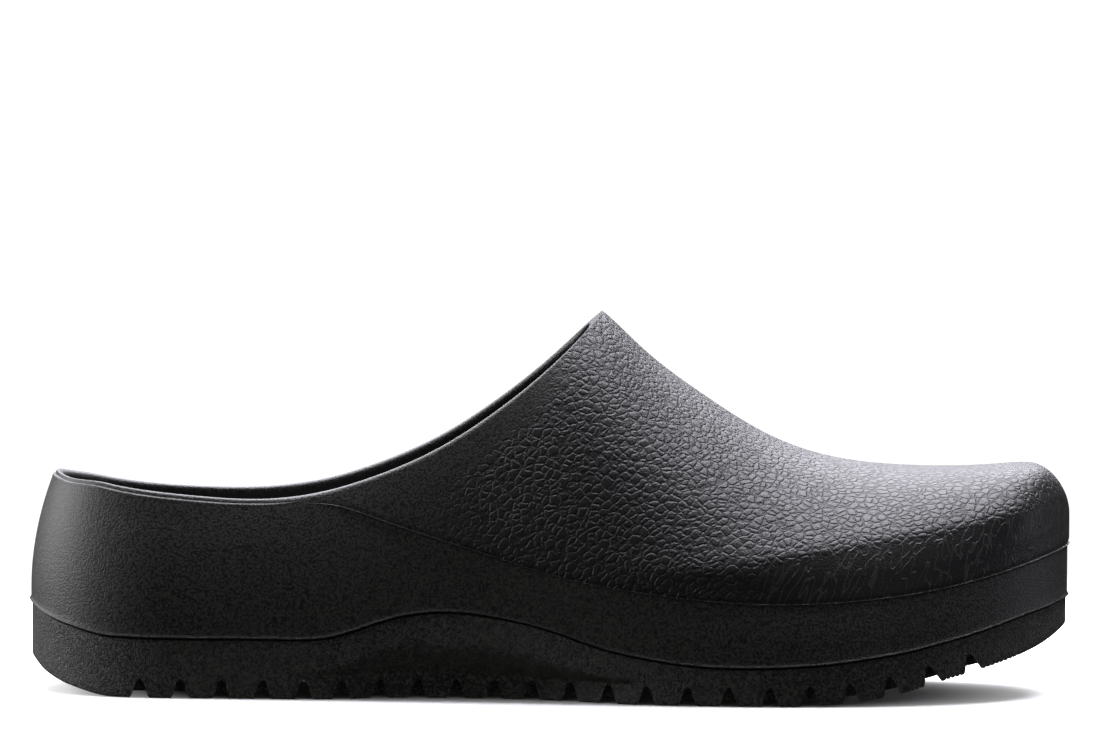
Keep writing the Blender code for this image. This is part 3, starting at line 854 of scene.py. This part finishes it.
def notch_cuts():
    """A notch in from each side at every place, and two that run right across."""
    cuts = []
    for at in notch_places():
        x, z, lean, outer, inner = cut_place(at)
        if any(math.isclose(at, groove) for groove in (HEEL_GROOVE_AT, BALL_GROOVE_AT)):
            cuts.append(((x, outer - NOTCH_MARGIN, z), lean, 0, inner - outer + 2 * NOTCH_MARGIN))
            continue
        reach = min(NOTCH_REACH, NOTCH_REACH_SHARE * (inner - outer))
        cuts.append(((x, outer - NOTCH_MARGIN, z), lean, 0, reach + NOTCH_MARGIN))
        cuts.append(((x, inner - reach, z), lean, 0, reach + NOTCH_MARGIN))
    return cuts


def tooth_cuts():
    """Small gaps under the front of the toe, on the lugs between the last notches."""
    notches = notch_places()
    cuts = []
    for at in np.arange(TEETH_START, TEETH_END, TOOTH_PITCH / LENGTH):
        if min(abs(at - notch) for notch in notches) * LENGTH < NOTCH_MOUTH / 2 + TOOTH_PITCH / 2:
            continue
        x, z, lean, outer, inner = cut_place(at)
        cuts.append(((x, outer - TOOTH_MARGIN, z), lean, 0, inner - outer + 2 * TOOTH_MARGIN))
    return cuts


def slit_cuts():
    """A slanting slit in the middle of each lug, swung one way and then the other."""
    cuts = []
    middles = [(a + b) / 2 for a, b in zip(notch_places(), notch_places()[1:])]
    for number, at in enumerate(middles):
        x, z, lean, outer, inner = cut_place(at)
        swing = SLIT_SWING if number % 2 else -SLIT_SWING
        reach = min(SLIT_LENGTH, SLIT_LENGTH_SHARE * (inner - outer))
        x += math.sin(swing) * reach / 2
        y = (outer + inner) / 2 - math.cos(swing) * reach / 2
        cuts.append(((x, y, z), lean, swing, reach))
    return cuts


def cut_tread(outsole):
    tree = row_of_cuts_tree()
    for name, profile, cuts in (
        ("notches", bell_profile(), notch_cuts()),
        ("teeth", wedge_profile(), tooth_cuts()),
        ("slits", slit_profile(), slit_cuts()),
    ):
        blade = new_blade(name + "_blade", profile)
        row = row_of_cuts(name, tree, blade, cuts)
        boolean = outsole.modifiers.new(name, "BOOLEAN")
        boolean.operation = "DIFFERENCE"
        boolean.solver = "EXACT"
        boolean.object = row
        settle(outsole)
        bpy.data.objects.remove(row)
        bpy.data.objects.remove(blade)


# Footbed


def bell(distance, spread):
    """1 in the middle, falling softly to 0 on both sides."""
    return np.exp(-((distance / spread) ** 2))


def build_footbed(lining, foam):
    """A contoured insole, with a cup round the heel, a rise under the arch, a pad and a toe grip."""
    bottom = seat_line(AT) + FIT
    bed = along("bed", AT) * FOOTBED_HEEL
    cupped = ease_between(AT, (BALL_GROOVE_AT, HEEL_GROOVE_AT))
    cup = HEEL_CUP * (CUP_LEFT_AT_TOE + (1 - CUP_LEFT_AT_TOE) * cupped)
    edge = bottom + bed + cup
    side = [bottom + (edge - FOOTBED_ROUND - bottom) * share for share in np.linspace(0, 1, 8)]
    arch = ARCH_RISE * bell(AT - ARCH_AT, ARCH_SPREAD)
    rings = inset(form_rings((sole_line(AT), *side)), WALL + FIT)
    rings[1:, :, 2] = [mirrored(height) for height in side]

    def dished(i, share, outer, inner):
        across = 2 * share - 1
        point = outer.lerp(inner, share)
        point.z -= cup[i] * (1 - abs(across) ** DISH_SQUARE)
        point.z += arch[i] * max(0, across) * (1 - max(0, across) ** 3)
        pad = bell(AT[i] - BALL_PAD_AT, BALL_PAD_SPREAD) * bell(across - BALL_PAD_ACROSS, BALL_PAD_WIDTH)
        grip_at = TOE_GRIP_AT - TOE_GRIP_BOW * abs(across - 0.25) ** 1.5
        grip = bell(AT[i] - grip_at, TOE_GRIP_SPREAD) * (1 - across**4)
        point.z += BALL_PAD_RISE * pad + TOE_GRIP_RISE * grip
        return point

    skin = Skin()
    sides = [skin.ring(points) for points in rings[1:]]
    skin.strips(sides, 1)
    skin.cap(sides[0], 2, flat_across, 1)
    above = sides[-1]
    for sine, cosine in quarter_turn(6)[1:]:
        points = plan_inset(rings[-1], np.full(len(RING_AT), FOOTBED_ROUND * (1 - cosine)))
        points[:, 2] += FOOTBED_ROUND * sine
        below, above = above, skin.ring(points)
        skin.strip(below, above, 0)
    skin.cap(above, FOOTBED_COLUMNS, dished, 0)
    return skin.finish("contoured_footbed", (lining, foam))


# Finishes


def linear(channel):
    return channel / 12.92 if channel <= 0.04045 else ((channel + 0.055) / 1.055) ** 2.4


def colour(hex_colour):
    return (*(linear(int(hex_colour[i : i + 2], 16) / 255) for i in (0, 2, 4)), 1)


def new_material(name):
    """A material with its shader, and the piece's own coordinates in millimetres."""
    material = bpy.data.materials.new(name)
    material.use_nodes = True
    tree = material.node_tree
    place = add_node(tree, "ShaderNodeTexCoord")
    in_mm = add_node(
        tree,
        "ShaderNodeVectorMath",
        {"Vector": place.outputs["Object"], "Scale": 1 / MM},
        operation="SCALE",
    )
    return material, tree, tree.nodes["Principled BSDF"], in_mm


def sand_grain(tree, mm):
    """The sandy grain of about 0.6 mm that a spark-eroded mould leaves, as a share from 0 to 1."""
    sand = add_node(tree, "ShaderNodeTexNoise", {"Vector": mm, "Scale": 1.7, "Detail": 1.0})
    return add_node(tree, "ShaderNodeMapRange", {"Value": sand, "From Min": 0.4, "From Max": 0.6})


def leather_pebbles(tree, mm):
    """Two shares from 0 to 1: how far a point is out of the creases, and how high up its pebble."""
    laid = add_node(
        tree,
        "ShaderNodeMapping",
        {"Vector": mm, "Rotation": PEBBLE_TURN, "Scale": PEBBLE_SIZE},
        vector_type="TEXTURE",
    )
    cells = {"Vector": laid, "Scale": 1.0, "Randomness": 0.8}
    crease = add_node(tree, "ShaderNodeTexVoronoi", cells, feature="DISTANCE_TO_EDGE")
    out_of_crease = add_node(
        tree, "ShaderNodeMapRange", {"Value": crease, "From Max": 0.2}, **SOFT_ENDS
    )
    centre = add_node(tree, "ShaderNodeTexVoronoi", cells, feature="F1")
    dome = add_node(tree, "ShaderNodeMapRange", {"Value": centre, "From Min": 0.75, "From Max": 0.0})
    return out_of_crease, dome


def off_middle(tree, noise_inputs):
    """How far a noise is from its middle value, which it crosses along thin winding lines."""
    noise = add_node(tree, "ShaderNodeTexNoise", noise_inputs)
    difference = add_node(tree, "ShaderNodeMath", {0: noise, 1: 0.5}, operation="SUBTRACT")
    return add_node(tree, "ShaderNodeMath", {0: difference}, operation="ABSOLUTE")


def upright_wrinkles(tree, mm):
    """Thin raised wrinkles about 1.5 mm apart, which lean towards the toe as they rise."""
    drawn = add_node(
        tree,
        "ShaderNodeMapping",
        {"Vector": mm, "Rotation": WRINKLE_TURN, "Scale": WRINKLE_SIZE},
        vector_type="TEXTURE",
    )
    beside = off_middle(tree, {"Vector": drawn, "Scale": 1.0, "Detail": 0.5})
    ends = {"Value": beside, "From Min": 0.055, "From Max": 0.0}
    return add_node(tree, "ShaderNodeMapRange", ends, **SOFT_ENDS)


def grained_vamp():
    """Polyurethane, cast soft against a mould etched with leather grain: low rounded pebbles about
    2 mm across with soft narrow creases, a satin skin a little glossier on the pebbles' tops, thin
    upright wrinkles on the steep side of the toe, and the rand's sandy grain where the etching
    runs out. In the colour the creases are darker, painted shade; the pebbles' tops are lighter,
    partly wear and partly painted highlight; the wrinkles are lighter, a painted highlight along
    their ridges; and the sand is lighter on its grains and darker between them, painted light and
    shade."""
    material, tree, shader, mm = new_material("polyurethane_leather_grain")
    wander = add_node(tree, "ShaderNodeTexNoise", {"Vector": mm, "Scale": 0.4, "Detail": 2.0})
    bend = add_node(
        tree,
        "ShaderNodeVectorMath",
        {0: wander.outputs["Color"], 1: (0.5, 0.5, 0.5)},
        operation="SUBTRACT",
    )
    shifted = add_node(
        tree,
        "ShaderNodeVectorMath",
        {0: bend, 1: (1.8, 1.8, 1.8), 2: mm},
        operation="MULTIPLY_ADD",
    )
    sand = sand_grain(tree, mm)
    pebble, dome = leather_pebbles(tree, shifted)
    wrinkle = upright_wrinkles(tree, mm)
    grained = add_node(tree, "ShaderNodeAttribute", attribute_name="grain").outputs["Fac"]
    streaked = add_node(tree, "ShaderNodeAttribute", attribute_name="streaks").outputs["Fac"]
    # Relief, roughness and colour of the leather, the wrinkles and the sand, each where its own
    # pattern is 0 and where it is 1
    # The colours paint light and shade: darker creases, lighter pebble tops (partly wear), lighter
    # wrinkle ridges, and sand lighter on its grains and darker between them
    results = []
    for kind, *ends in (
        ("FLOAT", (0.0, 1.0), (0.0, 0.5), (0.0, 0.0)),
        ("FLOAT", (0.6, 0.5), (0.44, 0.46), (0.5, 0.5)),
        (
            "RGBA",
            (colour("040404"), colour("111211")),
            (colour("060705"), colour("252722")),
            (colour(SAND_DARK), colour(SAND_LIGHT)),
        ),
    ):
        leather, wrinkled, sandy = (
            add_node(tree, "ShaderNodeMix", {"Factor": share, "A": low, "B": high}, data_type=kind)
            for share, (low, high) in zip((pebble, wrinkle, sand), ends)
        )
        steep = {"Factor": streaked, "A": leather, "B": wrinkled}
        etched = add_node(tree, "ShaderNodeMix", steep, data_type=kind)
        whole = {"Factor": grained, "A": sandy, "B": etched}
        results.append(add_node(tree, "ShaderNodeMix", whole, data_type=kind))
    height, gloss, shade = results
    domed = add_node(tree, "ShaderNodeMath", {0: height, 1: dome}, operation="MULTIPLY")
    swollen = add_node(
        tree, "ShaderNodeMix", {"Factor": 0.4, "A": height, "B": domed}, data_type="FLOAT"
    )
    relief = add_node(tree, "ShaderNodeBump", {"Height": swollen, "Distance": PEBBLE_RELIEF})
    skin = add_node(
        tree,
        "ShaderNodeBump",
        {"Height": sand, "Distance": SAND_RELIEF, "Strength": 0.8, "Normal": relief},
    )
    set_inputs(shader, {"Base Color": shade, "Roughness": gloss, "Normal": skin, "IOR": 1.5})
    return material


def satin_rand():
    """The same polyurethane cast against a spark-eroded mould: even satin with a fine sandy grain,
    and a few broad soft patches where the skin took the mould a little glossier. Its colour is
    darker between the sand's grains and lighter on their tops, painted shade and painted light."""
    material, tree, shader, mm = new_material("polyurethane_satin")
    sand = sand_grain(tree, mm)
    relief = add_node(tree, "ShaderNodeBump", {"Height": sand, "Distance": SAND_RELIEF})
    # The colour follows the sand's relief: painted shade between the grains, painted light on their tops
    shade = add_node(
        tree,
        "ShaderNodeMix",
        {"Factor": sand, "A": colour(SAND_DARK), "B": colour(SAND_LIGHT)},
        data_type="RGBA",
    )
    patches = add_node(tree, "ShaderNodeTexNoise", {"Vector": mm, "Scale": 0.05, "Detail": 2.0})
    gloss = add_node(tree, "ShaderNodeMapRange", {"Value": patches, "To Min": 0.46, "To Max": 0.54})
    set_inputs(shader, {"Base Color": shade, "Roughness": gloss, "Normal": relief, "IOR": 1.5})
    return material


def coarse_outsole():
    """Harder, denser polyurethane of the tread, cast against a deeply eroded mould: a coarse
    worm-like grain of 1 to 2 mm that breaks the light into dull specks. Its colour is darker in
    the grain's winding grooves and lighter on its ridges, painted shade and painted light."""
    material, tree, shader, mm = new_material("polyurethane_tread")
    beside = off_middle(tree, {"Vector": mm, "Scale": 0.95, "Detail": 1.0, "Distortion": 0.8})
    grain = add_node(
        tree, "ShaderNodeMapRange", {"Value": beside, "From Max": 0.14}, **SOFT_ENDS
    )
    sand = add_node(tree, "ShaderNodeTexNoise", {"Vector": mm, "Scale": 1.8, "Detail": 2.0})
    coarse = add_node(tree, "ShaderNodeBump", {"Height": grain, "Distance": TREAD_RELIEF})
    relief = add_node(
        tree,
        "ShaderNodeBump",
        {"Height": sand, "Distance": TREAD_SAND_RELIEF, "Strength": 0.8, "Normal": coarse},
    )
    # Painted shade in the grain's grooves and painted light on its ridges
    shade = add_node(
        tree,
        "ShaderNodeMix",
        {"Factor": grain, "A": colour("050604"), "B": colour("30322d")},
        data_type="RGBA",
    )
    set_inputs(shader, {"Base Color": shade, "Roughness": 0.58, "Normal": relief, "IOR": 1.5})
    return material


def soft_finish(name, shading, relief, colours, bump, looks):
    """A finish with a pattern for its colour and one for its relief, each a texture and its inputs."""
    material, tree, shader, mm = new_material(name)
    shades, heights = (
        add_node(tree, kind, {"Vector": mm, **inputs}) for kind, inputs in (shading, relief)
    )
    dark, light = (colour(shade) for shade in colours)
    base = add_node(
        tree, "ShaderNodeMix", {"Factor": shades, "A": dark, "B": light}, data_type="RGBA"
    )
    surface = add_node(tree, "ShaderNodeBump", {"Height": heights, **bump})
    set_inputs(shader, {"Base Color": base, "Normal": surface, **looks})
    return material


def matt_inside():
    """The inner skin of the same casting, drawn off a plain core: matt and nearly smooth."""
    soft = ("ShaderNodeTexNoise", {"Scale": 0.9, "Detail": 2.0})
    bump = {"Distance": INSIDE_RELIEF, "Strength": 0.6}
    looks = {"Roughness": 0.5, "IOR": 1.5}
    return soft_finish("polyurethane_inner_skin", soft, soft, ("161616", "161616"), bump, looks)


def napped_lining():
    """Brushed polyester lining on the footbed: short lint with a soft sheen at a glancing view,
    and light and dark strokes in its colour, a painted sheen where the nap lies different ways."""
    # The strokes set the colour, a painted sheen where the nap lies different ways
    strokes = ("ShaderNodeTexNoise", {"Scale": 0.11, "Detail": 3.0, "Distortion": 0.6})
    lint = ("ShaderNodeTexNoise", {"Scale": 2.2, "Detail": 4.0})
    bump = {"Distance": LINT_RELIEF, "Strength": 0.9}
    looks = {"Roughness": 0.92, "IOR": 1.46, "Sheen Weight": 0.35, "Sheen Roughness": 0.4}
    return soft_finish("brushed_polyester", strokes, lint, ("1b1a19", "2d2b29"), bump, looks)


def footbed_foam():
    """Cut edge of the footbed's ground cork and latex: dark granules in a rubbery binder."""
    granules = ("ShaderNodeTexVoronoi", {"Scale": 0.8})
    bump = {"Distance": GRANULE_RELIEF, "Strength": 0.7}
    looks = {"Roughness": 0.85, "IOR": 1.46}
    return soft_finish("cork_latex", granules, granules, ("3a352f", "1d1b19"), bump, looks)


# Studio


def new_floor():
    """A pale floor, with a painted glow round the shoe that lightens its shadow, fading into the white.
    """
    material = bpy.data.materials.new("studio_floor")
    material.use_nodes = True
    tree = material.node_tree
    tree.nodes.clear()
    place = add_node(tree, "ShaderNodeTexCoord").outputs["Object"]
    away = add_node(tree, "ShaderNodeVectorMath", {0: place}, operation="LENGTH")
    fade = add_node(
        tree,
        "ShaderNodeMapRange",
        {"Value": away.outputs["Value"], "From Min": FLOOR_FADES[0], "From Max": FLOOR_FADES[1]},
        **SOFT_ENDS,
    )
    oval = add_node(
        tree, "ShaderNodeMapping", {"Vector": place, "Scale": FLOOR_OVAL}, vector_type="TEXTURE"
    )
    out_of_oval = add_node(tree, "ShaderNodeVectorMath", {0: oval}, operation="LENGTH")
    glow = add_node(
        tree,
        "ShaderNodeMapRange",
        {"Value": out_of_oval.outputs["Value"], "From Min": 0.8, "From Max": 1.3, "To Max": FLOOR_GLOW},
        **SOFT_ENDS,
    )
    paper = add_node(tree, "ShaderNodeBsdfDiffuse", {"Color": colour("f2f2f2")})
    # Painted light: the floor glows outside the oval to lighten the shoe's shadow
    lit = add_node(tree, "ShaderNodeEmission", {"Strength": glow})
    both = add_node(tree, "ShaderNodeAddShader", {0: paper, 1: lit})
    clear = add_node(tree, "ShaderNodeBsdfTransparent")
    mixed = add_node(tree, "ShaderNodeMixShader", {"Fac": fade, 1: both, 2: clear})
    add_node(tree, "ShaderNodeOutputMaterial", {"Surface": mixed})
    shape = bmesh.new()
    bmesh.ops.create_grid(shape, x_segments=1, y_segments=1, size=0.8)
    floor = new_piece("studio_floor", shape, (material,))
    floor.visible_diffuse = False
    floor.visible_glossy = False


def new_softbox(name, place, aim, width, height, power, tint):
    light = bpy.data.lights.new(name, "AREA")
    light.shape = "RECTANGLE"
    light.size, light.size_y = width, height
    light.energy = power
    light.color = colour(tint)[:3]
    lamp = bpy.data.objects.new(name, light)
    lamp.location = place
    lamp.rotation_euler = (Vector(aim) - Vector(place)).to_track_quat("-Z", "Y").to_euler()
    lamp.visible_camera = False
    bpy.context.scene.collection.objects.link(lamp)


def light_studio():
    """White background, wide boxes overhead, behind and at the heel, and two weak ones at the toe."""
    world = bpy.data.worlds.new("studio")
    bpy.context.scene.world = world
    world.use_nodes = True
    tree = world.node_tree
    tree.nodes.clear()
    path = add_node(tree, "ShaderNodeLightPath")
    bright = add_node(
        tree,
        "ShaderNodeMapRange",
        {"Value": path.outputs["Is Diffuse Ray"], "To Min": ROOM_GLOSS, "To Max": ROOM_LIGHT},
    )
    white = colour("ffffff")
    room = add_node(tree, "ShaderNodeBackground", {"Color": white, "Strength": bright})
    backdrop = add_node(tree, "ShaderNodeBackground", {"Color": white, "Strength": BACKDROP})
    seen = add_node(
        tree, "ShaderNodeMixShader", {"Fac": path.outputs["Is Camera Ray"], 1: room, 2: backdrop}
    )
    add_node(tree, "ShaderNodeOutputWorld", {"Surface": seen})
    new_softbox("overhead_box", (0.08, 0.36, 1.20), (0.03, 0.0, 0.05), 1.5, 0.9, 52, "f7f5ff")
    new_softbox("back_wall", (-0.10, 1.40, 0.95), (0.03, 0.0, 0.05), 1.5, 0.8, 32, "f7f5ff")
    new_softbox("heel_strip", (-0.90, 0.16, 0.34), (-0.10, 0.0, 0.04), 0.95, 0.7, 10.5, "fdfdff")
    new_softbox("front_fill", (0.95, -1.05, 0.35), (0.12, 0.0, 0.03), 0.8, 0.7, 0.7, "f0ecff")
    new_softbox("toe_strip", (0.95, 0.20, 0.12), (0.14, 0.0, 0.02), 0.4, 0.5, 0.8, "f0ecff")


def set_camera():
    """Level side view from the outer side, a little above, through a long lens and rolled slightly."""
    distance = 4.0
    elevation = math.radians(3.0)
    roll = math.radians(0.43)
    seen_width = 307.3 * MM
    target = Vector((-0.0005, 0.0, 0.0903))
    camera_data = bpy.data.cameras.new("camera")
    camera_data.sensor_width = 36
    camera_data.lens = 36 * distance / seen_width
    camera_data.clip_end = 50
    camera = bpy.data.objects.new("camera", camera_data)
    away = Vector((0, -math.cos(elevation), math.sin(elevation)))
    camera.location = target + away * distance
    level = (-away).to_track_quat("-Z", "Y")
    camera.rotation_euler = (level.to_matrix() @ Matrix.Rotation(roll, 3, "Z")).to_euler()
    bpy.context.scene.collection.objects.link(camera)
    bpy.context.scene.camera = camera


def stand_on_node(pieces, node):
    """Moves the pieces, built from the heel, so that the first one's middle is over the node's."""
    low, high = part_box(node)
    points = places(pieces[0])
    middle = (points.min(axis=0) + points.max(axis=0)) / 2
    shift = ((low.x + high.x) / 2 - middle[0], (low.y + high.y) / 2 - middle[1], 0)
    for piece in pieces:
        piece.data.transform(Matrix.Translation(shift))


def main():
    upper = build_upper(grained_vamp(), satin_rand(), matt_inside())
    paint_upper(upper)
    outsole = build_outsole(coarse_outsole())
    cut_tread(outsole)
    footbed = build_footbed(napped_lining(), footbed_foam())
    stand_on_node((upper, outsole, footbed), "upper")
    for piece, node in ((upper, "upper"), (outsole, "outsole"), (footbed, "footbed")):
        smooth(piece)
        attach(piece, "root")
        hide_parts(node)
    new_floor()
    light_studio()
    set_camera()
    bpy.context.scene.view_settings.view_transform = "Standard"


main()
